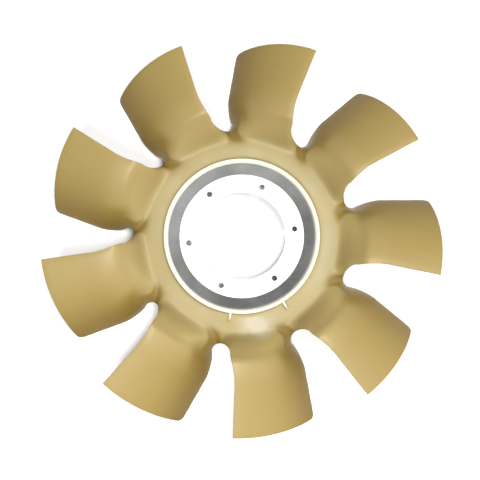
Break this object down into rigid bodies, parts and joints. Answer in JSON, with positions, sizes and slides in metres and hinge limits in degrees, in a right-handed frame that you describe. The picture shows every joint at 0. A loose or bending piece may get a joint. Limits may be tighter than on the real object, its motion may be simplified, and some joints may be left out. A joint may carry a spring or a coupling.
{
  "type": "radiator fan blade",
  "caption": "Axial engine cooling fan moulded in one piece in tan nylon, with wide cambered blades on a waved web and a pressed metal hub plate with a pilot bore and bolt holes.",
  "frame": {"origin": "centre of the pilot bore, on the front face of the hub plate", "axes": "+Z along the fan's axis towards the face that the picture shows, where the leading edges are highest; +X along the centreline of one blade"},
  "size_m": [0.6173, 0.6201, 0.0923],
  "materials": {
    "nylon": "satin natural nylon",
    "plate_metal": "bright pressed steel"
  },
  "bodies": {
    "root": {"fan_moulding": "nylon", "hub_plate": "plate_metal"}
  },
  "joints": []
}
